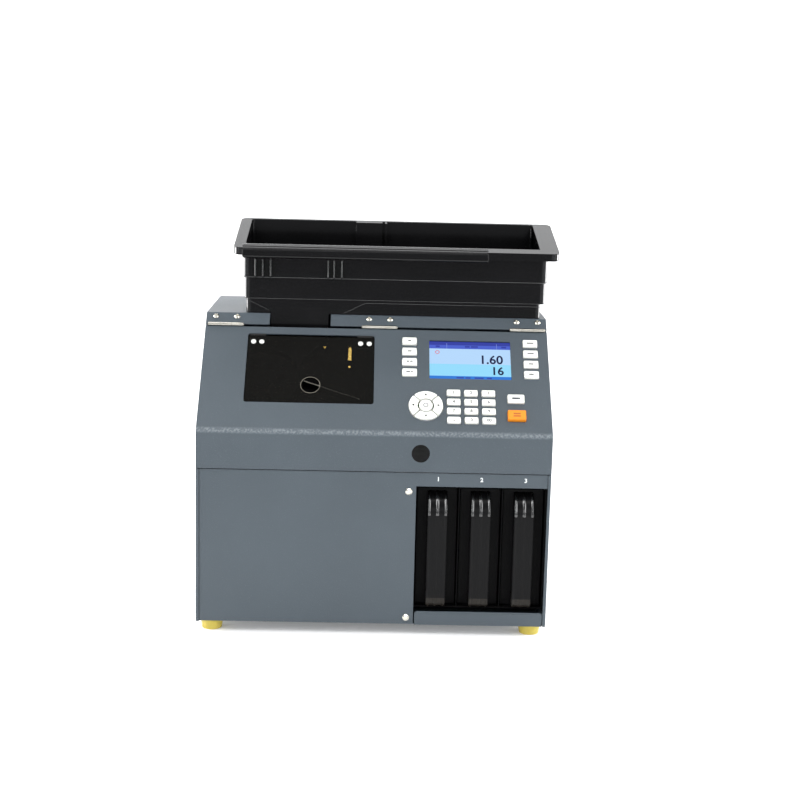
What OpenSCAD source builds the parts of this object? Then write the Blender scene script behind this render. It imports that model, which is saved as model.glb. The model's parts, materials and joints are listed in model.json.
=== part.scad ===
// Coin sorting machine: sheet-metal case with a hinged sloping front cover,
// a coin hopper on top, a feed disc and coin rail inside, and three coin drawers.
// X to the right, Y to the back, Z up, origin on the table under the middle of the outline.

/* [Case] */
// Outside width of the case
body_w = 400; // [396:1:404]
// Depth of the case from the cover lip to the rear panel
body_d = 280; // [270:1:290]
// Height of the feet
foot_h = 12; // [8:1:20]
// Sheet thickness of the case
sheet = 1.5; // [1.2:0.1:1.6]

/* [Cover] */
// Height of the bend between the cover lip and the slope, above the case bottom
bend_z = 223.4; // [222:0.2:225]
// Outer radius of that bend
bend_r = 7; // [4:0.5:9]
// Slope length from the bend to the cover's top edge
cover_len = 145.4; // [145:0.1:146]
// Bottom edge of the cover lip
lip_z = 179.5; // [178.8:0.1:181]

/* [Keys] */
// Height of the keys above the cover
key_h = 2.5; // [1.5:0.1:4]
// Height of the start key above the cover
start_h = 4; // [2:0.1:6]
// Gap between a key and its hole
key_gap = 0.5; // [0.3:0.05:0.6]

/* [Drawers] */
// Outside width of a drawer
drawer_w = 45.2; // [44:0.2:46]
// Spacing of the drawers
drawer_pitch = 49.2; // [49:0.1:49.2]
// Width of a drawer handle
handle_w = 22.4; // [16:0.5:24]

/* [Hopper] */
// Height of the hopper rim's front edge above the case bottom
rim_z = 418.5; // [412:0.5:422]
// Tilt of the hopper rim, higher at the back
rim_tilt = 12.7; // [10:0.1:14]
// Wall thickness of the hopper
hop_t = 2.5; // [2:0.1:3]

/* [Hidden] */
c = sqrt(0.5);
hw = body_w/2;
e = 0.01;
top_z = 340.5;                 // top plate above the case bottom
ax_s = cover_len+1.85;         // cover hinge axis along the slope
ax_n = 1.4;                    // and above it
flap_s = 134.05;               // window flap hinge axis
flap_n = -0.4;
hinge_x = [-176.2, 3.4, 177];
disc_x = -134;                 // feed disc centre and radius on the slope
disc_s = 94;
disc_r = 44;
whinge_x = [-137.8, -13.3];
draw_x = [for (i=[-1:1]) 122.2+i*drawer_pitch];

// slope coordinates: [s up the slope, n outward] to [y, z]
function P(s,n) = [(s-n)*c, bend_z+(s+n)*c];
function arc(cy,cz,r,a0,a1,k) = [for (i=[0:k]) let(a=a0+(a1-a0)*i/k) [cy+r*cos(a), cz+r*sin(a)]];

module place() translate([-6,-140.55,foot_h]) children();
module slope() translate([0,0,bend_z]) rotate([45,0,0]) children();
module along_x(x0,x1) translate([x0,0,0]) rotate([90,0,90]) linear_extrude(x1-x0) children();
module along_y(y0,y1) translate([0,y1,0]) rotate([90,0,0]) linear_extrude(y1-y0) children();
module up_n(n0,n1) translate([0,0,n0]) linear_extrude(n1-n0) children();
module box(a,b) translate(a) cube([b[0]-a[0],b[1]-a[1],b[2]-a[2]]);
module rod_x(x0,x1,r,y,z) translate([x0,y,z]) rotate([0,90,0]) cylinder(h=x1-x0,r=r,$fn=40);
module rod_y(y0,y1,r,x,z) translate([x,y0,z]) rotate([-90,0,0]) cylinder(h=y1-y0,r=r,$fn=40);
module rod_n(x,s,n0,n1,r) translate([x,s,n0]) cylinder(h=n1-n0,r=r,$fn=48);
module rrect(x0,y0,x1,y1,r) { translate([x0+r,y0]) square([x1-x0-2*r,y1-y0]); translate([x0,y0+r]) square([x1-x0,y1-y0-2*r]);
  for (x=[x0+r,x1-r], y=[y0+r,y1-r]) translate([x,y]) circle(r=r,$fn=40); }
module crect(x,y,w,h,r) rrect(x-w/2,y-h/2,x+w/2,y+h/2,r);

// ---------- case ----------
module base_plate() color([0.42,0.44,0.45]) place() difference() {
  union() { box([-198.3,3.1,0],[198.3,body_d-1.7,sheet]);
    for (s=[-1,1]) box([s*197.6-0.7,12,sheet-e],[s*197.6+0.7,body_d-3,14]);
    along_y(0.6,2.2) rrect(49.5,0.8,195.8,15.9,3);
    box([49.5,0.6,0],[195.8,3.3,1.5]); }
  for (x=[-183,183], y=[17,254]) translate([x,y,-1]) cylinder(h=4,r=2.2,$fn=32);
}
module side_poly() polygon([[0,0],[0,178.4],[1.9,178.4],P(1.6,-1.9)+[0,0],[(top_z-1.8-bend_z)+1.9/c,top_z-1.8],[body_d-1.6,top_z-1.8],[body_d-1.6,0]]);
module side(sx) { along_x(sx>0?hw-1.5:-hw,sx>0?hw:-hw+1.5) side_poly();
  box([sx>0?hw-3.4:-hw+1.4,0,0],[sx>0?hw-1.4:-hw+3.4,1.4,178.4]);
  box([sx>0?hw-12:-hw+1.4,body_d-3.1,20],[sx>0?hw-1.4:-hw+12,body_d-1.6,330]); }
module left_side_panel() color([0.42,0.45,0.47]) place() side(-1);
module right_side_panel() color([0.42,0.45,0.47]) place() side(1);
module rear_panel() color([0.42,0.45,0.47]) place() difference() {
  along_y(body_d-1.5,body_d) difference() {
    translate([-hw,0]) square([body_w,top_z-1.6]);
    crect(-150,52,28.6,20.8,0.3); crect(-150,78.5,21,14,0.3);
    for (k=[0:8]) crect(70,190+k*11,90,5,2.4);
    for (k=[0:4]) crect(-40,60+k*11,70,5,2.4); }
  for (x=[-188,188], z=[40,170,300]) rod_y(body_d-3,body_d+1,1.7,x,z);
}
module top_cover() color([0.43,0.46,0.48]) place() difference() {
  union() { along_x(-hw,hw) polygon(concat([P(cover_len+3.7,0)],arc(117.1+1.0,top_z-2.4,2.4,135,90,4),[[body_d,top_z],[body_d,top_z-1.5],[(top_z-1.5-bend_z)+1.5/c,top_z-1.5],P(cover_len+3.7,-1.5)]));
    for (s=[-1,1]) box([s*197.4-0.7,128,top_z-12],[s*197.4+0.7,body_d-4,top_z-1.4]); }
  box([-125.6,90,320],[-54,160,360]);
  slope() for (x=hinge_x, d=[-12.4,12.4]) rod_n(x+d,159.6,-6,3,1.7);
}
module front_panel() color([0.41,0.44,0.46]) place() difference() {
  union() { along_y(1.5,3) polygon([[-196.4,0.4],[48,0.4],[48,162.8],[196.4,162.8],[196.4,178.4],[-196.4,178.4]]);
    box([46.5,2.9,19.2],[48,12,164.3]); box([46.5,2.9,162.8],[196.4,12,164.3]); box([-196.4,2.9,176.9],[196.4,10,178.4]); }
  for (z=[8.4,156.6]) rod_y(0,6,2.2,39.8,z);
}
module pan(r,h) { cylinder(h=h*0.45,r=r,$fn=40); translate([0,0,h*0.45]) cylinder(h=h*0.55,r1=r,r2=r*0.62,$fn=40); }
module housing_screws() color([0.86,0.85,0.8]) place() {
  for (z=[8.4,156.6]) { translate([39.8,1.5,z]) rotate([90,0,0]) difference() { pan(3.9,2.4); translate([-0.5,-2.4,1.3]) cube([1,4.8,2]); translate([-2.4,-0.5,1.3]) cube([4.8,1,2]); } rod_y(1.4,12,2,39.8,z); }
  slope() for (x=hinge_x, d=[-12.4,12.4]) { translate([x+d,159.6,0]) difference() { pan(3.3,2.2); translate([-0.45,-2.1,1.2]) cube([0.9,4.2,2]); translate([-2.1,-0.45,1.2]) cube([4.2,0.9,2]); } rod_n(x+d,159.6,-5,0.1,1.5); }
  for (x=[-188,188], z=[40,170,300]) { translate([x,body_d,z]) rotate([-90,0,0]) pan(3,1.8); rod_y(body_d-1.55,body_d+0.1,1.5,x,z); }
  for (x=[-183,183], y=[17,254]) translate([x,y,0]) { translate([0,0,1.5]) pan(3.6,2.4); translate([0,0,-6]) cylinder(h=8,r=2,$fn=32); }
}
module feet() color([0.85,0.78,0.35]) place() for (x=[-183,183], y=[17,254]) translate([x,y,-foot_h]) difference() {
  cylinder(h=foot_h,r1=11.2,r2=13.2,$fn=64); translate([0,0,foot_h-6.2]) cylinder(h=7,r=2.05,$fn=32); }

// ---------- hopper ----------
module under_rim(d) translate([0,104,rim_z+d]) rotate([rim_tilt,0,0]) translate([-400,-80,-400]) cube([800,400,400]);
module rim_slab(d0,d1) difference() { under_rim(d1); under_rim(d0); }
module rim_out(i) { r=8-i; translate([0,0]) rrect(-168+i,104+i,212-i,220.5-i,r); }
module hop_cav() intersection() {
  along_y(100,230) polygon([[-155,480],[-155,372],[-122.5,346],[-59.5,346],[197,392],[197,480]]);
  along_x(-200,230) polygon([[119.5,480],[119.5,346],[147.5,346],[216.5,378],[216.5,480]]); }
module hopper() color([0.11,0.11,0.115]) place() difference() {
  union() {
    intersection() { union() { translate([0,0,top_z]) linear_extrude(17.6) rrect(-154,118.4,192.6,217.5,4);
        translate([0,0,358]) linear_extrude(25) rrect(-156.3,117.6,198,218.5,5);
        translate([0,0,383]) linear_extrude(80) rrect(-157.5,117,199.5,219,5); } under_rim(0); }
    intersection() { translate([0,0,380]) linear_extrude(100) rim_out(0); rim_slab(-2.6,0); }
    intersection() { translate([0,0,380]) linear_extrude(100) difference() { rim_out(0); rim_out(2.2); } rim_slab(-8.8,0); }
    along_x(-155,128) { translate([105.6,409.6]) circle(r=2.8,$fn=40); translate([102.8,409.6]) square([2.8,5.8]); translate([105.6,415.4]) circle(r=2.8,$fn=40); translate([105.6,406.8]) square([3,11.4]); }
    for (x=[-143,-134.3,-125.2,-58,-51.1,-42.1]) box([x-0.7,110.5,383],[x+0.7,118,414]);
    box([-125,117,316],[-57,150,347]);
  }
  difference() { intersection() { hop_cav(); union() { linear_extrude(600) rrect(-155,119.5,197,216.5,4); } } 
    intersection() { translate([0,0,380]) linear_extrude(100) difference() { rrect(-170,100,214,226,3); rrect(-155,116,190,217.5,4); } rim_slab(-2.6,0); }
    box([-27,210.5,340],[5,217.5,470]); box([8.2,208.5,340],[10.4,217.5,470]); }
  box([-122.5,119.5,300],[-59.5,147.5,352]);
  along_y(121,215) polygon([[-54,340],[189.8,340],[189.8,387.6],[-54,344]]);
  along_y(121,215) polygon([[-151,340],[-128,340],[-128,347.4],[-151,365.8]]);
  along_x(-151,189.8) polygon([[153,340],[214.8,340],[214.8,374],[153,345.6]]);
}

// ---------- cover hinges ----------
module knuckle(x0,x1,s,n,r,rb) translate([x0,s,n]) rotate([0,90,0]) difference() { cylinder(h=x1-x0,r=r,$fn=40); translate([0,0,-1]) cylinder(h=x1-x0+2,r=rb,$fn=40); }
module hinge_fixed_leaves() color([0.85,0.84,0.78]) place() slope() for (x=hinge_x) difference() {
  union() { for (k=[-1,1]) { knuckle(k<0?x-20.2:x+6.8,k<0?x-6.8:x+20.2,ax_s,ax_n,2.2,1.05);
      difference() { box([k<0?x-20.2:x+6.8,ax_s+0.75,-2.6],[k<0?x-6.8:x+20.2,ax_s+1.6,ax_n]); translate([x-30,ax_s,ax_n]) rotate([0,90,0]) cylinder(h=60,r=1.5,$fn=40); } }
    box([x-20.2,ax_s+0.75,-2.6],[x+20.2,164,-1.6]); }
  for (d=[-12.4,12.4]) rod_n(x+d,159.6,-6,3,1.55); }
module hinge_cover_leaves() color([0.85,0.84,0.78]) place() slope() for (x=hinge_x) {
  knuckle(x-6.5,x+6.5,ax_s,ax_n,2.2,1.05);
  difference() { box([x-6.5,ax_s-1.6,-2.6],[x+6.5,ax_s-0.75,ax_n]); translate([x-30,ax_s,ax_n]) rotate([0,90,0]) cylinder(h=60,r=1.5,$fn=40); }
  box([x-20.2,138.2,-2.6],[x+20.2,ax_s-0.75,-1.6]); }
module hinge_pins() color([0.8,0.8,0.78]) place() slope() for (x=hinge_x) translate([x,ax_s,ax_n]) rotate([0,90,0]) {
  translate([0,0,-20.6]) cylinder(h=41.2,r=1,$fn=32); for (z=[-20.9,20.3]) translate([0,0,z]) cylinder(h=0.6,r=1.6,$fn=32); }

// ---------- inner works ----------
module track_deck() color([0.1,0.1,0.1]) place() difference() {
  union() {
    slope() { up_n(-45,-43) rrect(-184,0,24,170,4);
      translate([disc_x,disc_s,-43-e]) difference() { cylinder(h=12,r=disc_r+3,$fn=96); translate([0,0,-1]) cylinder(h=17,r=disc_r+0.6,$fn=96); translate([0,-6,-1]) cube([80,30,20]); }
      translate([-50,168,-43-e]) rotate([0,0,-128]) box([0,-2,0],[58,0,10.5]); }
    for (x=[-184,22]) along_x(x,x+2) polygon([[34,1.6],[190,1.6],[190,40],P(168,-44),P(4,-44),[34,180]]); }
  slope() rod_n(disc_x,disc_s,-50,-40,7); }
module coin_rail() color([0.75,0.76,0.78]) place() slope() translate([-85,93.1,-43]) rotate([0,0,-20.4]) {
  box([0,-2,0.02],[100,0,11]); box([2,-10,0.02],[100,-1,1.4]); }
module disc_motor() color([0.55,0.56,0.58]) place() slope() difference() {
  union() { rod_n(disc_x,disc_s,-62,-45.05,22); rod_n(disc_x,disc_s,-100,-61.9,17); up_n(-48,-45.05) crect(disc_x,disc_s,60,22,4); }
  rod_n(disc_x,disc_s,-58,-40,4.05); }
module feed_disc() color([0.16,0.16,0.17]) place() slope() difference() {
  union() { rod_n(disc_x,disc_s,-42.5,-39.5,disc_r); rod_n(disc_x,disc_s,-57,-42.4,4); rod_n(disc_x,disc_s,-39.6,-35,11); rod_n(disc_x,disc_s,-35.1,-33.5,7);
    for (a=[0:45:315]) translate([disc_x,disc_s,-39.6]) rotate([0,0,a]) translate([36,0,0]) cylinder(h=1.6,r=3.5,$fn=32); }
  for (a=[22.5:45:337.5]) translate([disc_x,disc_s,-45]) rotate([0,0,a]) translate([24,0,0]) cylinder(h=8,r=5,$fn=32); }
module sensor_head() color([0.2,0.22,0.2]) place() slope() translate([-85,93.1,-43]) rotate([0,0,-20.4]) difference() {
  union() { box([74,-12,11.3],[94,26,20]); box([74,19,0.02],[94,26,12]); } box([77,-9,16],[91,23,21]); }

module drawer_bay() color([0.06,0.06,0.065]) place() difference() {
  box([46.6,12.1,17.4],[197.8,242,164.8]);
  for (x=draw_x) box([x-drawer_pitch/2+0.75,0,19.4],[x+drawer_pitch/2-0.75,240,162.7]);
  for (x=draw_x) box([x-17,60,160],[x+17,100,170]);
}
module drawer(k) { x=draw_x[k]; w=drawer_w/2;
  difference() { box([x-w,20,20.2],[x+w,232,150]); box([x-w+2,22.4,22.2],[x+w-2,230,151]); }
  box([x-w,20,20.2],[x+w,22.4,157]);
  along_x(x-handle_w/2,x+handle_w/2) difference() {
    polygon(concat([[20.5,21.3]],arc(9,27.3,6,270,180,6),arc(30,128.8,27,180,110.6,14),[[20.5,153.9]]));
    rrect(10,35.3,20,119.3,3); } }
module coin_drawer_1() color([0.08,0.08,0.085]) place() drawer(0);
module coin_drawer_2() color([0.08,0.08,0.085]) place() drawer(1);
module coin_drawer_3() color([0.08,0.08,0.085]) place() drawer(2);

module main_board() color([0.05,0.3,0.12]) place() {
  box([-170,150,12],[-60,255,13.6]);
  for (x=[-164,-66], y=[156,249]) translate([x,y,1.5]) cylinder(h=10.6,r=3,$fn=32);
  box([-150,175,13.5],[-132,193,15.2]); box([-110,170,13.5],[-84,182,22]); box([-165,240,13.5],[-100,247,24]);
  for (x=[-100,-86,-72]) translate([x,215,13.5]) cylinder(h=14,r=5,$fn=32); }
module power_supply() color([0.7,0.71,0.72]) place() difference() { box([-45,150,1.5],[18,262,42]); box([-43,148,3],[16,261,40]); for (k=[0:6]) box([-36+k*8,160,38],[-32+k*8,250,44]); }
module power_inlet() color([0.08,0.08,0.08]) place() difference() {
  union() { along_y(body_d,body_d+2) crect(-150,62,50,52,3); box([-164,body_d-18,42],[-136,body_d+1,62]); box([-160.2,body_d-18,72],[-139.8,body_d+1,85]);
    box([-160,body_d-16,60],[-140,body_d-12,74]); }
  box([-162,body_d-16,44],[-138,body_d+3,60]);
  box([-158.6,body_d-15,73.4],[-141.4,body_d+3,83.6]);
  rod_x(-159.6,-140.4,1.55,body_d-2,78.5); }
module power_switch() color([0.07,0.07,0.07]) place() {
  along_x(-158.3,-141.7) polygon([[body_d+1.6,74.4],[body_d-0.6,78.5],[body_d-1.4,83],[body_d-6,82],[body_d-7,78.5],[body_d-6,75]]);
  rod_x(-159.4,-140.6,1.5,body_d-2,78.5); }

// ---------- front cover ----------
fn_l = [128.1,113.1,98.3,83.6];
fn_r = [127.8,112.8,98.1,83.4];
num_x = [88.9,108.7,128.6];
num_s = [56,43.6,31.2,18.9];
nav = [57.2,37.8];
module key_hole(x,s,w,h) crect(x,s,w+2*key_gap,h+2*key_gap,1.6);
module front_cover() color([0.45,0.48,0.5]) place() difference() {
  union() {
    along_x(-hw,hw) polygon(concat([[0,lip_z]],arc(bend_r,bend_z-bend_r*tan(22.5),bend_r,180,135,8),[P(cover_len,0),P(cover_len,-sheet)],
      arc(bend_r,bend_z-bend_r*tan(22.5),bend_r-sheet,135,180,8),[[sheet,lip_z]]));
    slope() for (s=[-1,1]) box([s*195.7-0.7,8,-11],[s*195.7+0.7,136,-1.4]);
    box([-195,1.4,lip_z],[195,9,lip_z+1.4]);
    slope() for (p=[[31,66],[189,66],[31,8],[189,8],[52,140],[150,140]]) rod_n(p[0],p[1],-12,-1.4,2.5);
  }
  slope() translate([0,0,-4]) linear_extrude(8) {
    rrect(-149.5,39,-2,135.5,3);
    rrect(61.6,76.5,156.2,131,1.2);
    for (s=fn_l) key_hole(38.7,s,16.7,10);
    for (s=fn_r) key_hole(179.2,s,16.7,10);
    for (x=num_x, s=num_s) key_hole(x,s,15.2,8.2);
    translate(nav) circle(r=19.9,$fn=96);
    key_hole(159.9,49.2,19,11.2); key_hole(160.1,26,20.5,13.3);
  }
  rod_y(-2,4,10.3,52,200.8);
}
module display_module() color([0.3,0.45,0.8]) place() slope() { up_n(-6,-1.6) rrect(57.5,72.5,160.3,134.6,1); up_n(-8.5,-6) rrect(54.5,70.6,163.3,135,1);
  for (x=[62,156], s=[74,131.6]) rod_n(x,s,-12,-8,1.8); }
module keypad_board() color([0.05,0.32,0.15]) place() slope() { up_n(-13.6,-12) difference() { rrect(26,4,194,143,2); } 
  up_n(-18,-13.6) rrect(60,90,110,100,0.5); up_n(-16,-13.6) rrect(120,80,140,100,0.5); }
module cap(x,s,w,h,k) { up_n(-2.5,k-0.6) crect(x,s,w,h,1.3); up_n(k-0.6-e,k) crect(x,s,w-1,h-1,1.2);
  up_n(-3.4,-2.2) crect(x,s,w+2,h+1.6,1); up_n(-10.6,-3.3) crect(x,s,min(w,h)*0.5,min(w,h)*0.5,0.8); }
module fkey(x,s) color([0.94,0.94,0.91]) place() slope() cap(x,s,16.7,10,key_h);
module nkey(i,j) color([0.94,0.94,0.91]) place() slope() cap(num_x[i],num_s[j],15.2,8.2,key_h);
module wedge(r,a) polygon([[0,0],[r*cos(45-a)*1.5,r*sin(45-a)*1.5],[r*cos(45-a)*1.5,-r*sin(45-a)*1.5]]);
module arc_key(rot) color([0.94,0.94,0.91]) place() slope() translate([nav[0],nav[1],0]) rotate([0,0,rot]) {
  translate([0,0,-2.5]) linear_extrude(key_h+2.5) intersection() { difference() { circle(r=19.25,$fn=96); circle(r=9.5,$fn=64); } translate([1.2,0]) wedge(20,0); }
  translate([0,0,-3.4]) linear_extrude(1.2) intersection() { difference() { circle(r=20.9,$fn=96); circle(r=9.5,$fn=64); } translate([1.2,0]) wedge(20,0); }
  translate([12,-3,-10.6]) cube([5,6,8]); }
module key_f1() fkey(38.7,fn_l[0]);
module key_f2() fkey(38.7,fn_l[1]);
module key_f3() fkey(38.7,fn_l[2]);
module key_f4() fkey(38.7,fn_l[3]);
module key_f5() fkey(179.2,fn_r[0]);
module key_f6() fkey(179.2,fn_r[1]);
module key_f7() fkey(179.2,fn_r[2]);
module key_f8() fkey(179.2,fn_r[3]);
module key_num_1() nkey(0,0);
module key_num_2() nkey(1,0);
module key_num_3() nkey(2,0);
module key_num_4() nkey(0,1);
module key_num_5() nkey(1,1);
module key_num_6() nkey(2,1);
module key_num_7() nkey(0,2);
module key_num_8() nkey(1,2);
module key_num_9() nkey(2,2);
module key_num_dot() nkey(0,3);
module key_num_0() nkey(1,3);
module key_num_double_zero() nkey(2,3);
module key_nav_right() arc_key(0);
module key_nav_up() arc_key(90);
module key_nav_left() arc_key(180);
module key_nav_down() arc_key(270);
module key_ok() color([0.94,0.94,0.91]) place() slope() { rod_n(nav[0],nav[1],-10.6,key_h,7.7); }
module key_clear() color([0.95,0.95,0.93]) place() slope() cap(159.9,49.2,19,11.2,key_h+0.3);
module key_start() color([0.95,0.55,0.1]) place() slope() cap(160.1,26,20.5,13.3,start_h);

// ---------- window flap ----------
module window_flap() color([0.1,0.1,0.095]) place() slope() difference() {
  up_n(-3.3,-0.3) rrect(-148.9,39.6,-2.6,132.6,2.4);
  rod_n(-74.6,64,-5,2,10.75);
  for (x=[-142.5,-133.1,-18.3,-8.3]) rod_n(x,123.7,-5,2,1.7); }
module window_screws() color([0.93,0.93,0.92]) place() slope() for (x=[-142.5,-133.1,-18.3,-8.3]) {
  translate([x,123.7,-0.3]) difference() { pan(2.9,2); translate([-0.45,-1.9,1.1]) cube([0.9,3.8,2]); translate([-1.9,-0.45,1.1]) cube([3.8,0.9,2]); } rod_n(x,123.7,-5.5,-0.2,1.5); }
module window_hinge_leaves() color([0.8,0.8,0.8]) place() slope() for (x=whinge_x) difference() {
  union() { box([x-9.2,118,-4.2],[x+9.2,flap_s-0.85,-3.35]); box([x-3.8,flap_s-1.42,-4.2],[x+3.8,flap_s-0.85,flap_n]); knuckle(x-3.8,x+3.8,flap_s,flap_n,1.2,0.65); }
  for (u=[-142.5,-133.1,-18.3,-8.3]) rod_n(u,123.7,-6,0,1.55);
  translate([x-5,flap_s,flap_n]) rotate([0,90,0]) cylinder(h=10,r=0.65,$fn=40); }
module window_hinges() color([0.8,0.8,0.8]) place() slope() for (x=whinge_x) {
  for (k=[-1,1]) translate([k<0?x-9:x+4.1,flap_s,flap_n]) rotate([0,90,0]) cylinder(h=4.9,r=1.2,$fn=40);
  for (k=[-1,1]) box([k<0?x-9:x+4.1,flap_s-0.4,-2.35],[k<0?x-4.1:x+9,138,-1.55]);
  box([x-9,136.2,-2.35],[x+9,138,-1.55]);
  translate([x-9,flap_s,flap_n]) rotate([0,90,0]) cylinder(h=18,r=0.6,$fn=40); }
module window_rivet_strip() color([0.85,0.68,0.35]) place() slope() {
  up_n(-0.3,0.7) rrect(-32.3,99,-28.5,117.4,1.8);
  for (p=[[-30.6,89.9,1.4],[-59.6,117.1,1.1]]) rod_n(p[0],p[1],-0.3,0.8,p[2]); }

base_plate();
left_side_panel();
right_side_panel();
rear_panel();
top_cover();
front_panel();
housing_screws();
feet();
hopper();
hinge_fixed_leaves();
hinge_pins();
track_deck();
coin_rail();
disc_motor();
sensor_head();
drawer_bay();
main_board();
power_supply();
power_inlet();
front_cover();
hinge_cover_leaves();
display_module();
keypad_board();
window_hinges();
window_flap();
window_hinge_leaves();
window_screws();
window_rivet_strip();
feed_disc();
power_switch();
coin_drawer_1();
coin_drawer_2();
coin_drawer_3();
key_f1();
key_f2();
key_f3();
key_f4();
key_f5();
key_f6();
key_f7();
key_f8();
key_num_1();
key_num_2();
key_num_3();
key_num_4();
key_num_5();
key_num_6();
key_num_7();
key_num_8();
key_num_9();
key_num_dot();
key_num_0();
key_num_double_zero();
key_nav_up();
key_nav_right();
key_nav_down();
key_nav_left();
key_ok();
key_clear();
key_start();
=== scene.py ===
import json
import math

import bmesh
import bpy
import numpy as np
from mathutils import Matrix, Vector


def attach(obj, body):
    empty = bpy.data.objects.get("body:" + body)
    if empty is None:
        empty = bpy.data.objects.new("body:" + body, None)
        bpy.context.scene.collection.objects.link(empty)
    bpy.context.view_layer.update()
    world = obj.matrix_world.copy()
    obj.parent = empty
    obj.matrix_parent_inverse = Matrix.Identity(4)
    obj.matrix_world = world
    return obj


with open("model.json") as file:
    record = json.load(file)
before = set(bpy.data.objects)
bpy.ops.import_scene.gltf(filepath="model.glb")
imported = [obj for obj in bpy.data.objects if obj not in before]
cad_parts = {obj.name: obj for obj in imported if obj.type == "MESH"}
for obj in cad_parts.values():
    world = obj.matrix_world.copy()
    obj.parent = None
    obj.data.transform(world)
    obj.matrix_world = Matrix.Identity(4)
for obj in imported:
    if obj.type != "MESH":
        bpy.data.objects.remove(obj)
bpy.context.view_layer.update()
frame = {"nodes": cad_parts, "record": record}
nodes = frame["nodes"]
scene = bpy.context.scene

MM = 0.001
C = math.sqrt(0.5)
OFF = (-6.0, -140.55, 12.0)      # case coordinates (mm) to the shared frame
BEND_Z = 223.4


def B(x, y, z):
    return Vector(((x + OFF[0]) * MM, (y + OFF[1]) * MM, (z + OFF[2]) * MM))


def S(x, s, n):
    return B(x, (s - n) * C, BEND_Z + (s + n) * C)


def slope_matrix(x, s, n):
    p = S(x, s, n)
    return Matrix(((1, 0, 0, p.x), (0, C, -C, p.y), (0, C, C, p.z), (0, 0, 0, 1)))


def front_matrix(x, y, z):
    p = B(x, y, z)
    return Matrix(((1, 0, 0, p.x), (0, 0, -1, p.y), (0, 1, 0, p.z), (0, 0, 0, 1)))


def lin(rgb):
    out = []
    for v in rgb:
        v = v / 255.0
        out.append(v / 12.92 if v <= 0.04045 else ((v + 0.055) / 1.055) ** 2.4)
    return (out[0], out[1], out[2], 1.0)


# ---------------------------------------------------------------- camera
def camera():
    p, y, r = math.radians(10.631), math.radians(1.234), math.radians(-1.402)
    cp, sp, cy, sy, cr, sr = math.cos(p), math.sin(p), math.cos(y), math.sin(y), math.cos(r), math.sin(r)
    fwd = np.array([sy * cp, cy * cp, -sp])
    right = np.array([cy, -sy, 0.0])
    down = np.cross(fwd, right)
    r2 = cr * right + sr * down
    d2 = -sr * right + cr * down
    data = bpy.data.cameras.new("camera")
    cam = bpy.data.objects.new("camera", data)
    scene.collection.objects.link(cam)
    data.sensor_width = 36.0
    data.lens = 1515.48 * 36.0 / 800.0
    data.clip_start, data.clip_end = 0.05, 60
    loc = B(-8.493, -1658.264, 573.001)
    cam.matrix_world = Matrix(((r2[0], -d2[0], -fwd[0], loc.x), (r2[1], -d2[1], -fwd[1], loc.y), (r2[2], -d2[2], -fwd[2], loc.z), (0, 0, 0, 1)))
    scene.camera = cam


camera()

# ---------------------------------------------------------------- light and stage
scene.view_settings.view_transform = "Standard"
scene.view_settings.look = "None"
scene.view_settings.exposure = 0.0
world = bpy.data.worlds.new("studio")
scene.world = world
world.use_nodes = True
world.node_tree.nodes["Background"].inputs[0].default_value = (0.93, 0.96, 1.0, 1)
world.node_tree.nodes["Background"].inputs[1].default_value = 0.42


def area(name, loc, look, sx, sy, watts, colour=(1, 1, 1)):
    d = bpy.data.lights.new(name, "AREA")
    d.shape, d.size, d.size_y, d.energy, d.color = "RECTANGLE", sx, sy, watts, colour
    o = bpy.data.objects.new(name, d)
    scene.collection.objects.link(o)
    o.visible_camera = False
    o.location = loc
    o.rotation_mode = "QUATERNION"
    o.rotation_quaternion = (Vector(look) - Vector(loc)).to_track_quat("-Z", "Y")
    return o


area("key_left", (-1.3, -1.5, 1.3), (0, 0, 0.3), 0.6, 2.3, 22)
area("key_right", (1.4, -1.4, 1.3), (0, 0, 0.3), 0.6, 2.3, 19)
area("fill_top", (-0.1, -1.05, 2.25), (0, 0, 0.25), 1.7, 0.75, 13)
area("side_left", (-1.7, 0.15, 0.62), (0, 0.05, 0.38), 0.9, 1.0, 36)
area("side_right", (1.75, 0.15, 0.62), (0, 0.05, 0.38), 0.9, 1.0, 36)
area("panel_back", (0.0, 1.8, 1.75), (0, 0.5, 0.35), 3.2, 0.9, 12)
area("front_low", (0.0, -3.3, 1.0), (0, 0, 0.3), 1.8, 0.7, 9)
area("wall_wash", (0.0, 1.1, 2.6), (0, 1.9, 0.2), 3.6, 1.2, 60)


def sharpen(bm):
    """Square corners stay crisp where the faces beside them are shaded smooth."""
    for e in bm.edges:
        if len(e.link_faces) == 2 and e.calc_face_angle() > 0.9:
            e.smooth = False


def mesh_object(name, verts, faces, mats, face_mat=None, smooth=False):
    me = bpy.data.meshes.new(name)
    me.from_pydata([tuple(v) for v in verts], [], [tuple(f) for f in faces])
    o = bpy.data.objects.new(name, me)
    scene.collection.objects.link(o)
    for m in mats:
        me.materials.append(m)
    if face_mat is not None:
        me.polygons.foreach_set("material_index", list(face_mat))
    bm = bmesh.new()
    bm.from_mesh(me)
    bmesh.ops.recalc_face_normals(bm, faces=bm.faces)
    sharpen(bm)
    bm.to_mesh(me)
    bm.free()
    for p in me.polygons:
        p.use_smooth = smooth
    me.update()
    return o


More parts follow.
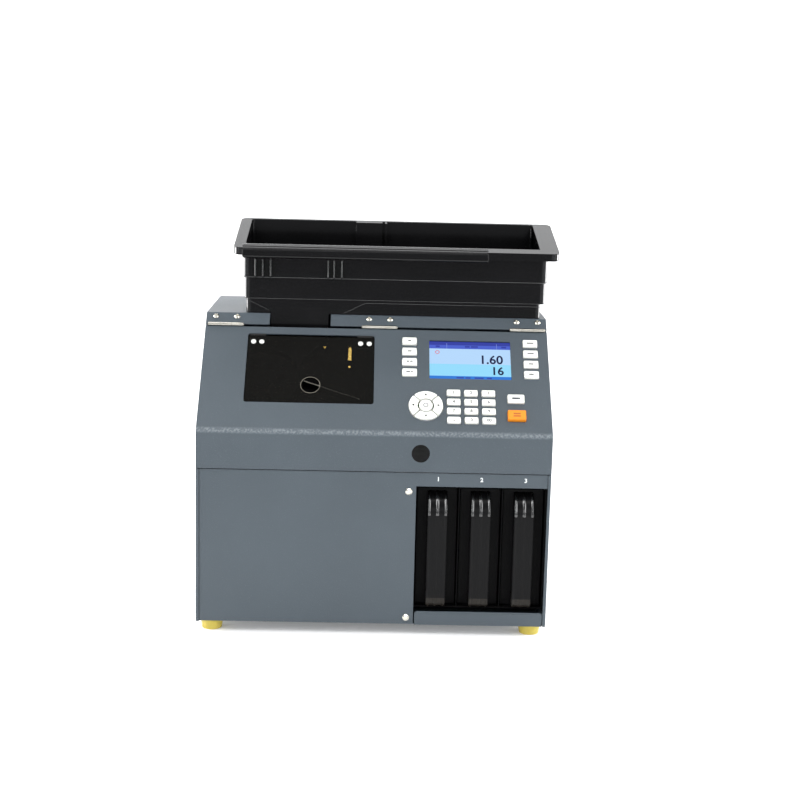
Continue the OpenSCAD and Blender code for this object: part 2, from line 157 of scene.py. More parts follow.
# ---------------------------------------------------------------- materials
def material(name, rgb, rough=0.5, metallic=0.0, spec=0.5, tint=0.10, tint_scale=60.0, grain=0.0, grain_scale=900.0,
             rough_var=0.08, speck=0.0, coat=0.0, coat_rough=0.05, transmission=0.0, alpha=1.0, sss=0.0, ior=1.5,
             stretch=None, painted_bend_highlight=None, emission=None, emission_strength=0.0):
    m = bpy.data.materials.new(name)
    m.use_nodes = True
    nt = m.node_tree
    n, l = nt.nodes, nt.links
    bsdf = n["Principled BSDF"]
    tc = n.new("ShaderNodeTexCoord")
    mp = n.new("ShaderNodeMapping")
    l.new(tc.outputs["Object"], mp.inputs["Vector"])
    if stretch:
        mp.inputs["Scale"].default_value = stretch
    base = lin(rgb)
    cloud = n.new("ShaderNodeTexNoise")
    cloud.inputs["Scale"].default_value = tint_scale
    cloud.inputs["Detail"].default_value = 4
    l.new(mp.outputs["Vector"], cloud.inputs["Vector"])
    ramp = n.new("ShaderNodeValToRGB")
    ramp.color_ramp.elements[0].position, ramp.color_ramp.elements[1].position = 0.3, 0.7
    ramp.color_ramp.elements[0].color = (*[v * (1 - tint) for v in base[:3]], 1)
    ramp.color_ramp.elements[1].color = (*[min(1.0, v * (1 + tint)) for v in base[:3]], 1)
    l.new(cloud.outputs["Fac"], ramp.inputs["Fac"])
    colour = ramp.outputs["Color"]
    fine = n.new("ShaderNodeTexNoise")
    fine.inputs["Scale"].default_value = grain_scale
    fine.inputs["Detail"].default_value = 3
    l.new(mp.outputs["Vector"], fine.inputs["Vector"])
    if speck:
        sr = n.new("ShaderNodeValToRGB")
        sr.color_ramp.elements[0].position, sr.color_ramp.elements[1].position = 0.62, 0.72
        sr.color_ramp.elements[0].color, sr.color_ramp.elements[1].color = (0, 0, 0, 1), (speck, speck, speck, 1)
        l.new(fine.outputs["Fac"], sr.inputs["Fac"])
        mix = n.new("ShaderNodeMix")
        mix.data_type = "RGBA"
        l.new(sr.outputs["Color"], mix.inputs[0])
        l.new(colour, mix.inputs[6])
        mix.inputs[7].default_value = (*[min(1.0, v * 1.6 + 0.05) for v in base[:3]], 1)
        colour = mix.outputs[2]
    if painted_bend_highlight:                                   # painted highlight along a bend line at one height: a lighter speckled band that stands in for the light the bend catches
        zc, half, amount = painted_bend_highlight
        sep = n.new("ShaderNodeSeparateXYZ")
        l.new(tc.outputs["Object"], sep.inputs["Vector"])
        off = n.new("ShaderNodeMath")
        off.operation = "SUBTRACT"
        off.inputs[1].default_value = zc
        l.new(sep.outputs["Z"], off.inputs[0])
        dist = n.new("ShaderNodeMath")
        dist.operation = "ABSOLUTE"
        l.new(off.outputs[0], dist.inputs[0])
        near = n.new("ShaderNodeMapRange")
        near.interpolation_type = "SMOOTHSTEP"
        near.inputs["From Min"].default_value, near.inputs["From Max"].default_value = half, half * 0.15
        near.inputs["To Min"].default_value, near.inputs["To Max"].default_value = 0.0, 1.0
        l.new(dist.outputs[0], near.inputs["Value"])
        grit = n.new("ShaderNodeTexNoise")
        grit.inputs["Scale"].default_value = 420
        grit.inputs["Detail"].default_value = 4
        l.new(mp.outputs["Vector"], grit.inputs["Vector"])
        gr = n.new("ShaderNodeMapRange")
        gr.inputs["From Min"].default_value, gr.inputs["From Max"].default_value = 0.4, 0.62
        gr.inputs["To Min"].default_value, gr.inputs["To Max"].default_value = 0.25 * amount, amount
        l.new(grit.outputs["Fac"], gr.inputs["Value"])
        mul = n.new("ShaderNodeMath")
        mul.operation = "MULTIPLY"
        l.new(near.outputs["Result"], mul.inputs[0])
        l.new(gr.outputs["Result"], mul.inputs[1])
        mix = n.new("ShaderNodeMix")
        mix.data_type = "RGBA"
        l.new(mul.outputs[0], mix.inputs[0])
        l.new(colour, mix.inputs[6])
        # lighter grey of the painted bend highlight
        mix.inputs[7].default_value = lin((168, 176, 180))
        colour = mix.outputs[2]
    l.new(colour, bsdf.inputs["Base Color"])
    mr = n.new("ShaderNodeMapRange")
    mr.inputs["To Min"].default_value = max(0.02, rough - rough_var)
    mr.inputs["To Max"].default_value = min(1.0, rough + rough_var)
    l.new(cloud.outputs["Fac"], mr.inputs["Value"])
    l.new(mr.outputs["Result"], bsdf.inputs["Roughness"])
    if grain:
        bump = n.new("ShaderNodeBump")
        bump.inputs["Strength"].default_value = grain
        bump.inputs["Distance"].default_value = 0.0004
        l.new(fine.outputs["Fac"], bump.inputs["Height"])
        l.new(bump.outputs["Normal"], bsdf.inputs["Normal"])
    bsdf.inputs["Metallic"].default_value = metallic
    bsdf.inputs["Specular IOR Level"].default_value = spec
    bsdf.inputs["Coat Weight"].default_value = coat
    bsdf.inputs["Coat Roughness"].default_value = coat_rough
    bsdf.inputs["Transmission Weight"].default_value = transmission
    bsdf.inputs["Alpha"].default_value = alpha
    bsdf.inputs["Subsurface Weight"].default_value = sss
    if sss:
        bsdf.inputs["Subsurface Radius"].default_value = (0.006, 0.005, 0.002)
    bsdf.inputs["IOR"].default_value = ior
    if emission:
        if emission_strength:
            er = n.new("ShaderNodeMix")
            er.data_type = "RGBA"
            l.new(cloud.outputs["Fac"], er.inputs[0])
            e = lin(emission)
            er.inputs[6].default_value = (*[v * 0.97 for v in e[:3]], 1)
            er.inputs[7].default_value = (*[min(1, v * 1.03) for v in e[:3]], 1)
            l.new(er.outputs[2], bsdf.inputs["Emission Color"])
        bsdf.inputs["Emission Strength"].default_value = emission_strength
    return m


M = {}
M["case_paint"] = material("case_paint", (68, 77, 84), rough=0.43, spec=0.42, tint=0.04, tint_scale=14, grain=0.5, grain_scale=900, speck=0.26, rough_var=0.05)
# the front cover's paint carries a painted highlight: a lighter speckled band along the bend line
M["cover_paint"] = material("cover_paint", (68, 77, 84), rough=0.43, spec=0.42, tint=0.04, tint_scale=14, grain=0.5, grain_scale=900, speck=0.26, rough_var=0.05, painted_bend_highlight=(0.2352, 0.0042, 0.36))
M["hopper_plastic"] = material("hopper_plastic", (11, 11, 12), rough=0.14, spec=0.28, tint=0.12, tint_scale=18, grain=0.035, grain_scale=260, rough_var=0.05)
M["hopper_gloss"] = material("hopper_gloss", (13, 13, 14), rough=0.1, spec=1.0, tint=0.12, tint_scale=18, grain=0.0, rough_var=0.02)
# painted shade: a darker, duller copy of the drawer black for the moulded drawers, standing in for the shade of the bay
# they sit in; the handle skins keep the lighter drawer_plastic
M["drawer_painted_shade"] = material("drawer_painted_shade", (5, 5, 6), rough=0.5, spec=0.08, tint=0.2, tint_scale=60, grain=0.1, grain_scale=1300)
M["drawer_plastic"] = material("drawer_plastic", (10, 10, 11), rough=0.3, spec=0.13, tint=0.1, tint_scale=30, grain=0.04, grain_scale=500, rough_var=0.05)
M["drawer_gloss"] = material("drawer_gloss", (12, 12, 12), rough=0.2, spec=1.0, tint=0.1, tint_scale=30, grain=0.0, rough_var=0.02, coat=0.6, coat_rough=0.18)
# painted light: a lighter brownish colour for the handles' rounded foot, standing in for light thrown up from the floor
M["drawer_foot_painted_light"] = material("drawer_foot_painted_light", (34, 31, 27), rough=0.42, spec=0.2, tint=0.25, tint_scale=260, grain=0.12, grain_scale=700)
M["bay_plastic"] = material("bay_plastic", (5, 5, 6), rough=0.55, spec=0.08, tint=0.15, grain=0.12, grain_scale=1400)
M["deck_plastic"] = material("deck_plastic", (9, 9, 10), rough=0.6, spec=0.12, tint=0.1, grain=0.1, grain_scale=1500)
M["hinge_steel"] = material("hinge_steel", (186, 183, 174), rough=0.2, metallic=1.0, tint=0.10, tint_scale=240, grain=0.07, grain_scale=700, stretch=(0.25, 2, 2))
M["bright_screw"] = material("bright_screw", (226, 223, 212), rough=0.24, metallic=1.0, tint=0.08, tint_scale=300, grain=0.04, grain_scale=1500)
M["white_screw"] = material("white_screw", (236, 236, 232), rough=0.35, spec=0.5, tint=0.04, tint_scale=400, grain=0.05)
M["rail_side"] = material("rail_side", (30, 30, 31), rough=0.5, metallic=0.6, spec=0.2, tint=0.1, tint_scale=120, grain=0.05)
M["rail_steel"] = material("rail_steel", (230, 226, 214), rough=0.45, metallic=1.0, tint=0.08, tint_scale=120, grain=0.06, stretch=(0.2, 3, 3))
M["motor_case"] = material("motor_case", (150, 151, 154), rough=0.42, metallic=0.9, tint=0.08, grain=0.12, grain_scale=1200)
M["supply_case"] = material("supply_case", (182, 184, 186), rough=0.38, metallic=1.0, tint=0.08, tint_scale=50, grain=0.06, grain_scale=900, stretch=(3, 0.2, 3))
M["circuit_board"] = material("circuit_board", (16, 84, 44), rough=0.34, spec=0.5, tint=0.28, tint_scale=420, grain=0.16, grain_scale=1600)
M["inlet_plastic"] = material("inlet_plastic", (20, 20, 21), rough=0.4, spec=0.4, tint=0.1, grain=0.09, grain_scale=1500)
# the feet carry a faint painted glow (emission) that brightens them as lit amber rubber
M["foot_polyurethane"] = material("foot_polyurethane", (196, 178, 76), rough=0.3, spec=0.5, tint=0.10, tint_scale=160, grain=0.05, sss=0.5, transmission=0.12, ior=1.45, emission=(190, 170, 60), emission_strength=0.04)
M["smoked_acrylic"] = material("smoked_acrylic", (15, 14, 11), rough=0.06, spec=0.3, tint=0.10, tint_scale=20, grain=0.004, grain_scale=40, rough_var=0.02, alpha=0.62, ior=1.49)
M["black_hinge"] = material("black_hinge", (20, 20, 20), rough=0.4, spec=0.4, tint=0.15, tint_scale=300, grain=0.08)
# painted highlight: a lighter grey-brown for the thin ring at the finger hole's edge
M["hole_edge_painted_highlight"] = material("hole_edge_painted_highlight", (112, 108, 98), rough=0.2, spec=0.5, tint=0.12, tint_scale=300, grain=0.05)
M["brass"] = material("brass", (232, 196, 110), rough=0.26, metallic=1.0, tint=0.10, tint_scale=400, grain=0.05, stretch=(1, 0.3, 0.3))
M["disc_plastic"] = material("disc_plastic", (26, 26, 28), rough=0.5, spec=0.25, tint=0.12, tint_scale=120, grain=0.1, grain_scale=900)
M["key_white"] = material("key_white", (240, 241, 235), rough=0.38, spec=0.4, tint=0.025, tint_scale=260, grain=0.06, grain_scale=1800, sss=0.05)
M["key_orange"] = material("key_orange", (232, 140, 30), rough=0.36, spec=0.4, tint=0.06, tint_scale=220, grain=0.06, grain_scale=1800, sss=0.05)
M["legend_dark"] = material("legend_dark", (74, 76, 80), rough=0.5, tint=0.12, tint_scale=600, grain=0.08)
M["legend_black"] = material("legend_black", (24, 24, 26), rough=0.5, tint=0.12, tint_scale=600, grain=0.08)
M["legend_amber"] = material("legend_amber", (176, 92, 22), rough=0.5, tint=0.12, tint_scale=600, grain=0.08)
M["legend_white"] = material("legend_white", (222, 226, 226), rough=0.5, tint=0.06, tint_scale=700, grain=0.1)
M["display_glass"] = material("display_glass", (18, 20, 26), rough=0.16, spec=0.5, tint=0.15, tint_scale=40, grain=0.01)
M["label_paper"] = material("label_paper", (236, 236, 230), rough=0.65, tint=0.04, tint_scale=160, grain=0.14, grain_scale=1900)
LCD = {}
for nm, rgb in {"lcd_header": (70, 92, 200), "lcd_header_dark": (46, 58, 158), "lcd_upper": (178, 213, 248), "lcd_lower": (146, 216, 248), "lcd_foot": (42, 118, 212),
                "lcd_line": (120, 140, 214), "lcd_ink": (14, 20, 66), "lcd_ring": (214, 120, 140)}.items():
    LCD[nm] = material(nm, (8, 9, 12), rough=0.22, spec=0.3, tint=0.1, tint_scale=1200, emission=rgb, emission_strength=1.03)

SLOTS = {s["node"]: s["material_slot"] for s in frame["record"]["subparts"]}
SHOWN = {"coin_rail": "rail_side", "front_cover": "cover_paint", "coin_drawer_1": "drawer_painted_shade", "coin_drawer_2": "drawer_painted_shade", "coin_drawer_3": "drawer_painted_shade", "window_hinges": "black_hinge", "window_hinge_leaves": "black_hinge"}


def dress(name, mat=None, width=0.35, segments=2, angle=32):
    o = nodes[name]
    o.data.materials.clear()
    o.data.materials.append(mat or M[SHOWN.get(name, SLOTS[name])])
    for p in o.data.polygons:
        p.material_index = 0
        p.use_smooth = True
    if "custom_normal" in o.data.attributes:
        o.data.attributes.remove(o.data.attributes["custom_normal"])
    w = o.modifiers.new("weld", "WELD")
    w.merge_threshold = 2e-6
    d = o.modifiers.new("flat", "DECIMATE")
    d.decimate_type = "DISSOLVE"
    d.angle_limit = math.radians(0.4)
    if width:
        b = o.modifiers.new("edge", "BEVEL")
        b.width = width * MM
        b.segments = segments
        b.limit_method = "ANGLE"
        b.angle_limit = math.radians(angle)
        b.use_clamp_overlap = True
        b.harden_normals = True
        b.miter_outer = "MITER_ARC"
    wn = o.modifiers.new("normals", "WEIGHTED_NORMAL")
    wn.keep_sharp = True
    wn.weight = 70
    return o


WIDTH = {"hopper": 0.7, "front_cover": 0.35, "top_cover": 0.35, "feet": 0.9, "feed_disc": 0.4, "drawer_bay": 0.5, "hinge_cover_leaves": 0.15, "hinge_fixed_leaves": 0.15,
         "window_hinges": 0.12, "window_hinge_leaves": 0.12, "hinge_pins": 0.15, "housing_screws": 0.12, "window_screws": 0.1, "window_rivet_strip": 0.15,
         "window_flap": 0.3, "coin_rail": 0.2, "display_module": 0.2, "power_inlet": 0.4, "power_switch": 0.4, "main_board": 0.25, "keypad_board": 0.2,
         "disc_motor": 0.8, "power_supply": 0.4, "coin_drawer_1": 0.6, "coin_drawer_2": 0.6, "coin_drawer_3": 0.6, "key_start": 0.55, "key_ok": 0.8}
for name in nodes:
    width = WIDTH.get(name, 0.45 if name.startswith("key_") else 0.3)
    dress(name, width=width, segments=3 if name in ("hopper", "key_start", "key_ok", "feet") else 2)

# ---------------------------------------------------------------- helpers for small pieces
def text_piece(name, chars, size, matrix, body, mat, thick=0.05, sx=1.0, bold=0.0):
    cu = bpy.data.curves.new(name, "FONT")
    cu.body, cu.size, cu.extrude = chars, size * MM, thick * MM
    cu.offset = bold * MM
    cu.align_x, cu.align_y = "CENTER", "CENTER"
    cu.resolution_u = 4
    tmp = bpy.data.objects.new(name + "_curve", cu)
    scene.collection.objects.link(tmp)
    bpy.context.view_layer.update()
    me = bpy.data.meshes.new_from_object(tmp.evaluated_get(bpy.context.evaluated_depsgraph_get()))
    bpy.data.objects.remove(tmp)
    bm = bmesh.new()
    bm.from_mesh(me)
    bmesh.ops.remove_doubles(bm, verts=bm.verts, dist=1e-7)
    xs = [v.co.x for v in bm.verts]
    ys = [v.co.y for v in bm.verts]
    cx, cy = (min(xs) + max(xs)) / 2, (min(ys) + max(ys)) / 2
    for v in bm.verts:
        v.co.x = (v.co.x - cx) * sx
        v.co.y -= cy
    bmesh.ops.recalc_face_normals(bm, faces=bm.faces)
    bm.to_mesh(me)
    bm.free()
    me.materials.clear()
    me.materials.append(mat)
    for p in me.polygons:
        p.material_index = 0
    o = bpy.data.objects.new(name, me)
    scene.collection.objects.link(o)
    o.matrix_world = matrix
    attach(o, body)
    return o


def prism(points, n0, n1):
    """Closed prism from a 2-D outline, in local x, y and z from n0 to n1 (mm)."""
    k = len(points)
    verts = [Vector((x * MM, y * MM, n0 * MM)) for x, y in points] + [Vector((x * MM, y * MM, n1 * MM)) for x, y in points]
    faces = [list(range(k))[::-1], list(range(k, 2 * k))] + [[i, (i + 1) % k, (i + 1) % k + k, i + k] for i in range(k)]
    return verts, faces


def rounded(x0, y0, x1, y1, r, k=5):
    pts = []
    for cx, cy, a in ((x1 - r, y1 - r, 0), (x0 + r, y1 - r, 90), (x0 + r, y0 + r, 180), (x1 - r, y0 + r, 270)):
        for i in range(k + 1):
            t = math.radians(a + 90 * i / k)
            pts.append((cx + r * math.cos(t), cy + r * math.sin(t)))
    return pts


def ring_mesh(r0, r1, n0, n1, k=64):
    verts, faces = [], []
    for i in range(k):
        a = 2 * math.pi * i / k
        for r, z in ((r0, n0), (r1, n0), (r1, n1), (r0, n1)):
            verts.append(Vector((r * math.cos(a) * MM, r * math.sin(a) * MM, z * MM)))
    for i in range(k):
        j = (i + 1) % k
        for q in range(4):
            w = (q + 1) % 4
            faces.append([4 * i + q, 4 * j + q, 4 * j + w, 4 * i + w])
    return verts, faces


def place(name, parts, matrix, body, mats, smooth=False):
    """parts is a list of (verts, faces, material index); one object on one body."""
    verts, faces, fm = [], [], []
    for v, f, mi in parts:
        base = len(verts)
        verts += list(v)
        for face in f:
            faces.append([base + i for i in face])
            fm.append(mi)
    o = mesh_object(name, verts, faces, mats, fm, smooth)
    o.matrix_world = matrix
    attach(o, body)
    return o


# ---------------------------------------------------------------- key legends
FN_L = [128.1, 113.1, 98.3, 83.6]
FN_R = [127.8, 112.8, 98.1, 83.4]
NUM_X = [88.9, 108.7, 128.6]
NUM_S = [56, 43.6, 31.2, 18.9]
NAV = (57.2, 37.8)
KEY_H, START_H = 2.5, 4.0
LABELS = [["1", "2", "3"], ["4", "5", "6"], ["7", "8", "9"], [".", "0", "00"]]
NUM_NODES = [["key_num_1", "key_num_2", "key_num_3"], ["key_num_4", "key_num_5", "key_num_6"], ["key_num_7", "key_num_8", "key_num_9"], ["key_num_dot", "key_num_0", "key_num_double_zero"]]
for j in range(4):
    for i in range(3):
        nd = NUM_NODES[j][i]
        if LABELS[j][i] == ".":
            place("legend_" + nd, [(*prism([(0.85 * math.cos(a * math.pi / 8), 0.85 * math.sin(a * math.pi / 8)) for a in range(16)], -0.05, 0.05), 0)],
                  slope_matrix(NUM_X[i], NUM_S[j] - 1.2, KEY_H), nd + "_body", [M["legend_dark"]])
        else:
            text_piece("legend_" + nd, LABELS[j][i], 5.4, slope_matrix(NUM_X[i], NUM_S[j], KEY_H), nd + "_body", M["legend_dark"], bold=0.12)

bars = {"key_f1": [(-1.6, 1.6, 0)], "key_f2": [(-2.2, 2.2, 0)], "key_f3": [(-3.4, -0.4, 0), (0.6, 3.4, 0)], "key_f4": [(-3.8, 0.6, 0), (1.6, 3.8, 0)],
        "key_f5": [(-4, 4, 0)], "key_f6": [(-3.6, 3.6, 0)], "key_f7": [(-2.8, 2.8, 0)], "key_f8": [(-3.2, 2.2, 0)]}
for k, (nd, segs) in enumerate(bars.items()):
    x, s = (38.7, FN_L[k]) if k < 4 else (179.2, FN_R[k - 4])
    place("legend_" + nd, [(*prism(rounded(a, -0.8, b, 0.8, 0.5), -0.05, 0.05), 0) for a, b, _ in segs],
          slope_matrix(x, s, KEY_H), nd + "_body", [M["legend_dark"]])
place("legend_key_clear", [(*prism(rounded(-4.6, -1.2, 4.6, 1.2, 0.7), -0.05, 0.05), 0)], slope_matrix(159.9, 49.2, KEY_H + 0.3), "key_clear_body", [M["legend_dark"]])
place("legend_key_start", [(*prism(rounded(-4.2, 0.7, 4.2, 2.6, 0.6), -0.05, 0.05), 0), (*prism(rounded(-4.2, -2.6, 4.2, -0.7, 0.6), -0.05, 0.05), 0)],
      slope_matrix(160.1, 26, START_H), "key_start_body", [M["legend_amber"]])
for nd, a in (("key_nav_right", 0), ("key_nav_up", 90), ("key_nav_left", 180), ("key_nav_down", 270)):
    t = math.radians(a)
    tri = [(1.7, 0), (-1.2, 1.6), (-1.2, -1.6)]
    pts = [(x * math.cos(t) - y * math.sin(t), x * math.sin(t) + y * math.cos(t)) for x, y in tri]
    place("legend_" + nd, [(*prism(pts, -0.05, 0.05), 0)], slope_matrix(NAV[0] + 14.4 * math.cos(t), NAV[1] + 14.4 * math.sin(t), KEY_H), nd + "_body", [M["legend_black"]])
place("legend_key_ok", [(*ring_mesh(2.0, 2.9, -0.05, 0.05, 40), 0)], slope_matrix(NAV[0], NAV[1], KEY_H), "key_ok_body", [M["legend_dark"]])

# ---------------------------------------------------------------- display picture
X0, X1, S0, S1 = 61.6, 156.2, 76.5, 131.0
LW, LH = X1 - X0, S1 - S0
lcd_m = slope_matrix(X0, S0, -1.6)


def lcd_rect(x0, y0, x1, y1, n=0.06):
    return prism([(x0 * LW, (1 - y1) * LH), (x1 * LW, (1 - y1) * LH), (x1 * LW, (1 - y0) * LH), (x0 * LW, (1 - y0) * LH)], 0.0, n)


names = ["lcd_header", "lcd_header_dark", "lcd_upper", "lcd_lower", "lcd_foot", "lcd_line", "lcd_ink", "lcd_ring"]
parts = [(*lcd_rect(0.002, 0.01, 0.998, 0.10), 1), (*lcd_rect(0.002, 0.10, 0.998, 0.195), 0), (*lcd_rect(0.002, 0.195, 0.998, 0.595), 2),
         (*lcd_rect(0.002, 0.595, 0.998, 0.905), 3), (*lcd_rect(0.002, 0.905, 0.998, 0.99), 4),
         (*lcd_rect(0.214, 0.05, 0.220, 0.195, 0.09), 5), (*lcd_rect(0.828, 0.05, 0.834, 0.195, 0.09), 5)]
for a, b in ((0.08, 0.13), (0.44, 0.50), (0.515, 0.60), (0.89, 0.95)):
    parts.append((*lcd_rect(a, 0.115, b, 0.155, 0.09), 1))
for a, b in ((0.33, 0.42), (0.44, 0.50), (0.55, 0.66), (0.70, 0.76)):
    parts.append((*lcd_rect(a, 0.935, b, 0.965, 0.09), 1))
screen = place("display_picture", parts, lcd_m, "cover", [LCD[x] for x in names])
rv, rf = ring_mesh(1.7, 2.6, 0.0, 0.1, 32)
place("display_ring", [(rv, rf, 0)], slope_matrix(X0 + 0.10 * LW, S0 + (1 - 0.29) * LH, -1.6), "cover", [LCD["lcd_ring"]])
text_piece("display_total", "1.60", 16.6, slope_matrix(X0 + 0.774 * LW, S0 + (1 - 0.465) * LH, -1.52), "cover", LCD["lcd_ink"], thick=0.03, sx=0.97, bold=0.34)
text_piece("display_count", "16", 15.4, slope_matrix(X0 + 0.845 * LW, S0 + (1 - 0.757) * LH, -1.52), "cover", LCD["lcd_ink"], thick=0.03, sx=0.97, bold=0.34)

# ---------------------------------------------------------------- drawer number marks
for k, (x, ch) in enumerate(((72.7, "1"), (121.7, "2"), (171.4, "3"))):
    text_piece(f"drawer_mark_{k + 1}", ch, 6.6, front_matrix(x, 1.5, 171.6), "case", M["legend_white"], thick=0.06, bold=0.22)

# ---------------------------------------------------------------- drawer handle skins
DRAW_X = [122.2 - 49.2, 122.2, 122.2 + 49.2]


def handle_skin(k):
    """Moulded face of a handle: rounded rims, a middle ridge and a rounded foot."""
    x = DRAW_X[k]
    path = []
    for i in range(11):                                  # bottom turn
        a = math.radians(262 - 82 * i / 10)
        path.append((9 + 6 * math.cos(a), 27.3 + 6 * math.sin(a), math.cos(a), math.sin(a)))
    for i in range(1, 24):
        path.append((3.0, 27.3 + (128.8 - 27.3) * i / 24, -1.0, 0.0))
    for i in range(0, 21):                               # top curve
        a = math.radians(180 - 68.5 * i / 20)
        path.append((30 + 27 * math.cos(a), 128.8 + 27 * math.sin(a), math.cos(a), math.sin(a)))
    hwid = 11.2
    prof = []
    for i in range(41):
        u = -1 + 2 * i / 40
        au = abs(u)
        rim = math.exp(-((au - 0.84) / 0.10) ** 2)
        mid = math.exp(-(max(0.0, au - 0.05) / 0.08) ** 2)
        d = 0.12 + 0.62 * rim + 0.50 * mid
        if au > 0.9:
            t = (au - 0.9) / 0.1
            d -= 1.15 * t * t
        prof.append((u * (hwid + 0.15), d, max(rim, mid) > 0.12))
    skirt = [(hwid + 0.15, -2.0, False), (-hwid - 0.15, -2.0, False)]
    ringp = prof + skirt
    verts, faces, fm = [], [], []
    L = len(path)
    for j, (py, pz, ny, nz) in enumerate(path):
        # the foot and the top end are rounded in plan
        t = max(0.0, (L - 6 - j) / -5.0) if j > L - 6 else max(0.0, (6 - j) / 6.0)
        narrow = 1.0 - 0.16 * t * t
        for u, d, _ in ringp:
            y, z = py + ny * d, pz + nz * d
            verts.append(B(x + u * narrow, y, z))
    R_ = len(ringp)
    for j in range(L - 1):
        for i in range(R_):
            a, b = i, (i + 1) % R_
            faces.append([j * R_ + a, j * R_ + b, (j + 1) * R_ + b, (j + 1) * R_ + a])
            bright = ringp[a][2] and ringp[b][2]
            # the foot turn (j < 11) takes the painted-light colour
            fm.append((1 if bright else 0) if path[j][1] >= 128.7 else (2 if j < 11 else 0))
    faces.append([i for i in range(R_)][::-1])
    faces.append([(L - 1) * R_ + i for i in range(R_)])
    fm += [2, 0]
    o = mesh_object(f"drawer_{k + 1}_handle_skin", verts, faces, [M["drawer_plastic"], M["drawer_gloss"], M["drawer_foot_painted_light"]], fm, True)
    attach(o, f"drawer_{k + 1}")


for k in range(3):
    handle_skin(k)

# ---------------------------------------------------------------- rolled front edge of the hopper rim
def bead():
    # outline in y, z: from the inner edge over the crown, down the front and back under
    top = 418.5
    out = []
    for i in range(0, 13):                              # crown, from the bowl side to the front
        t = i / 12
        y = 116.6 - 11.0 * t
        z = top + (y - 104) * math.tan(math.radians(12.7)) + 1.9 * math.sin(math.pi * min(1, t * 1.02)) ** 0.7
        out.append((y, z))
    for i in range(1, 9):                               # round nose
        a = math.radians(90 + 90 * i / 8)
        out.append((105.6 + 3.2 * math.cos(a), top - 2.8 + 3.2 * math.sin(a)))
    for i in range(0, 9):                               # lower round of the lip
        a = math.radians(180 + 110 * i / 8)
        out.append((105.6 + 3.2 * math.cos(a), 409.4 + 3.2 * math.sin(a)))
    out += [(107.2, 410.5), (107.6, 416.0), (116.6, 418.4)]
    cy = sum(p[0] for p in out) / len(out)
    cz = sum(p[1] for p in out) / len(out)
    left = [(-158.0 + 2.6 * (1 - math.cos(math.pi / 2 * i / 6)), 0.80 + 0.20 * math.sin(math.pi / 2 * i / 6)) for i in range(7)]
    right = [(128.6 - 2.2 * (1 - math.cos(math.pi / 2 * i / 6)), 0.80 + 0.20 * math.sin(math.pi / 2 * i / 6)) for i in range(7)][::-1]
    stations = left + [(-100, 1.0), (-30, 1.0), (50, 1.0)] + right
    verts, faces = [], []
    k = len(out)
    for x, f in stations:
        for y, z in out:
            verts.append(B(x, cy + (y - cy) * f, cz + (z - cz) * f))
    for j in range(len(stations) - 1):
        for i in range(k):
            a, b = i, (i + 1) % k
            faces.append([j * k + a, j * k + b, (j + 1) * k + b, (j + 1) * k + a])
    faces.append(list(range(k))[::-1])
    faces.append([(len(stations) - 1) * k + i for i in range(k)])
    o = mesh_object("hopper_rolled_edge", verts, faces, [M["hopper_plastic"]], None, True)
    wn = o.modifiers.new("normals", "WEIGHTED_NORMAL")
    wn.keep_sharp = True
    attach(o, "case")


bead()


def tube(name, points, r, body, mat, closed=False):
    """Thin moulded bead along a line of points, a closed round mesh."""
    cu = bpy.data.curves.new(name, "CURVE")
    cu.dimensions = "3D"
    sp = cu.splines.new("POLY")
    sp.points.add(len(points) - 1)
    for q, pt in zip(sp.points, points):
        q.co = (pt[0], pt[1], pt[2], 1)
    sp.use_cyclic_u = closed
    cu.bevel_depth = r * MM
    cu.bevel_resolution = 2 if r < 1 else 7
    cu.use_fill_caps = not closed
    tmp = bpy.data.objects.new(name + "_curve", cu)
    scene.collection.objects.link(tmp)
    bpy.context.view_layer.update()
    me = bpy.data.meshes.new_from_object(tmp.evaluated_get(bpy.context.evaluated_depsgraph_get()))
    bpy.data.objects.remove(tmp)
    bm = bmesh.new()
    bm.from_mesh(me)
    bmesh.ops.remove_doubles(bm, verts=bm.verts, dist=1e-7)
    bmesh.ops.recalc_face_normals(bm, faces=bm.faces)
    sharpen(bm)
    bm.to_mesh(me)
    bm.free()
    me.materials.clear()
    me.materials.append(mat)
    for q in me.polygons:
        q.use_smooth, q.material_index = True, 0
    o = bpy.data.objects.new(name, me)
    scene.collection.objects.link(o)
    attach(o, body)
    return o


HP, HG = M["hopper_plastic"], M["hopper_gloss"]
tube("hopper_step_bead", [B(x, y, 383.0) for x, y in rounded(-157.5, 117.0, 199.5, 219.0, 5, 6)], 0.65, "case", HG, closed=True)
tube("hopper_low_bead", [B(x, y, 358.0) for x, y in rounded(-156.3, 117.6, 198.0, 218.5, 5, 6)], 0.4, "case", HG, closed=True)
tube("hopper_crease_right", [B(-40, 118.3, 341.5), B(-14, 118.3, 354.5), B(192, 118.3, 354.5)], 0.4, "case", HG)
tube("hopper_crease_left", [B(-153, 118.3, 356.5), B(-127, 118.3, 344)], 0.4, "case", HG)
for k, x in enumerate((-27.0, 5.0, 9.3)):
    tube(f"hopper_inner_rib_{k + 1}", [B(x, 216.4, 396), B(x, 216.4, 439.5)], 0.9, "case", HG)
for k, x in enumerate((-153.6, 188.6)):
    tube(f"hopper_inner_corner_{k + 1}", [B(x, 215.0, 397), B(x, 215.0, 439.5)], 1.8, "case", HG)
for k, (x, y, z0, z1, r) in enumerate(((-152.5, 122.0, 383.6, 408.4, 5.15), (194.5, 122.0, 383.6, 408.4, 5.15), (-151.3, 122.6, 358.5, 382.6, 5.15),
                                       (193.0, 122.6, 358.5, 382.6, 5.15), (-150.0, 122.4, 341.5, 357.5, 4.15), (188.6, 122.4, 341.5, 357.5, 4.15))):
    tube(f"hopper_outer_corner_{k + 1}", [B(x, y, z0), B(x, y, z1)], r, "case", HG)
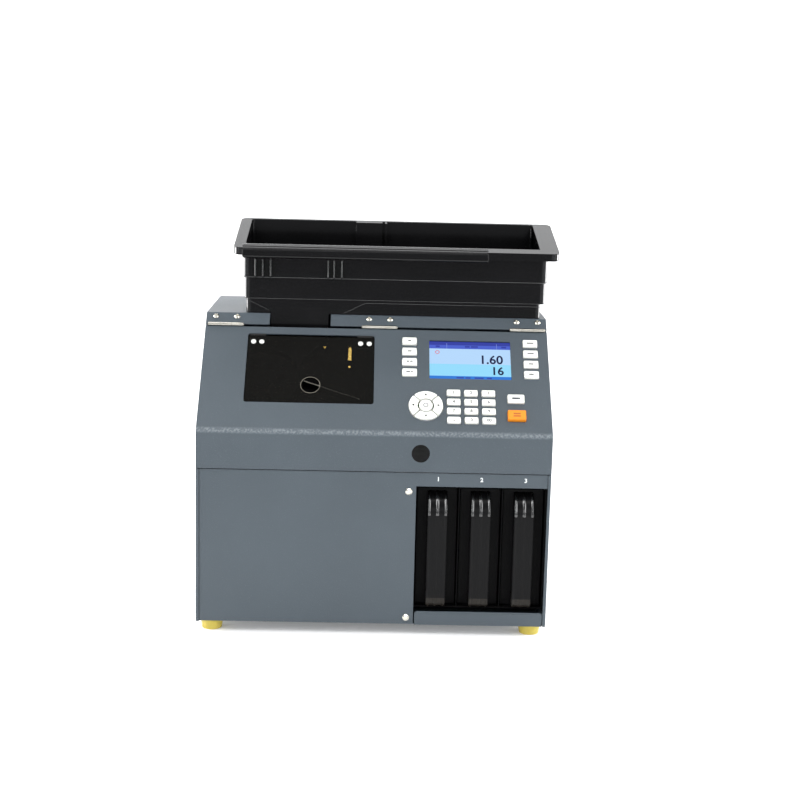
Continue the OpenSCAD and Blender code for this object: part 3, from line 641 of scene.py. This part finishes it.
for k, x in enumerate((-143.0, -134.3, -125.2, -58.0, -51.1, -42.1)):
    tube(f"hopper_rib_edge_{k + 1}", [B(x, 110.9, 385.0), B(x, 110.9, 404.5)], 0.8, "case", HG)
for k, (x, y) in enumerate(((-160.0, 112.0), (204.0, 112.0))):
    tube(f"hopper_rim_corner_{k + 1}", [B(x, y, 411.0), B(x, y, 417.8)], 8.15, "case", HG)

# polished running edge of the coin rail
t = math.radians(-20.4)
tube("rail_polished_edge", [S(-85 + a * math.cos(t) + math.sin(t), 93.1 + a * math.sin(t) - math.cos(t), -31.9) for a in (1.0, 99.0)], 0.8, "case", M["rail_steel"])

# rolled top edge of the sill in front of the drawers
tube("sill_rolled_edge", [B(51.6, 1.2, 15.1), B(193.7, 1.2, 15.1)], 1.15, "case", M["cover_paint"])

# ---------------------------------------------------------------- window finger-hole rim (painted highlight ring) and inlet blades
# the thin lighter ring at the finger hole is a painted highlight of the acrylic's edge
place("window_hole_rim", [(*ring_mesh(10.72, 11.35, -0.35, -0.18, 72), 0)], slope_matrix(-74.6, 64, 0), "window", [M["hole_edge_painted_highlight"]])
blade = []
for x, z in ((-157.0, 50.0), (-143.0, 50.0), (-150.0, 56.0)):
    w, h = (1.0, 2.0)
    v = [B(x + sx * w, y, z + sz * h) for y in (263.5, 278.0) for sx, sz in ((-1, -1), (1, -1), (1, 1), (-1, 1))]
    blade.append((v, [[0, 1, 2, 3], [7, 6, 5, 4], [0, 4, 5, 1], [1, 5, 6, 2], [2, 6, 7, 3], [3, 7, 4, 0]], 0))
o = place("inlet_blades", blade, Matrix.Identity(4), "case", [M["hinge_steel"]])
bv = o.modifiers.new("edge", "BEVEL")
bv.width, bv.segments = 0.25 * MM, 2

# ---------------------------------------------------------------- floor and backdrop
fm_ = material("studio_floor", (246, 246, 246), rough=0.75, spec=0.15, tint=0.01, tint_scale=3, grain=0.02, grain_scale=200, emission=(255, 255, 255), emission_strength=0.16)
verts, faces = [], []
prof = [(-1.6, 0.0), (1.8, 0.0)] + [(1.8 + 1.0 * math.sin(a), 1.0 - 1.0 * math.cos(a)) for a in [math.pi / 2 * i / 12 for i in range(1, 13)]] + [(2.8, 1.5)]
for y, z in prof:
    verts += [(-6.0, y, z - 0.0002), (6.0, y, z - 0.0002)]
for i in range(len(prof) - 1):
    faces.append([2 * i, 2 * i + 1, 2 * i + 3, 2 * i + 2])
me = bpy.data.meshes.new("floor")
me.from_pydata(verts, [], faces)
me.materials.append(fm_)
floor = bpy.data.objects.new("floor", me)
scene.collection.objects.link(floor)
for p in me.polygons:
    p.use_smooth = True
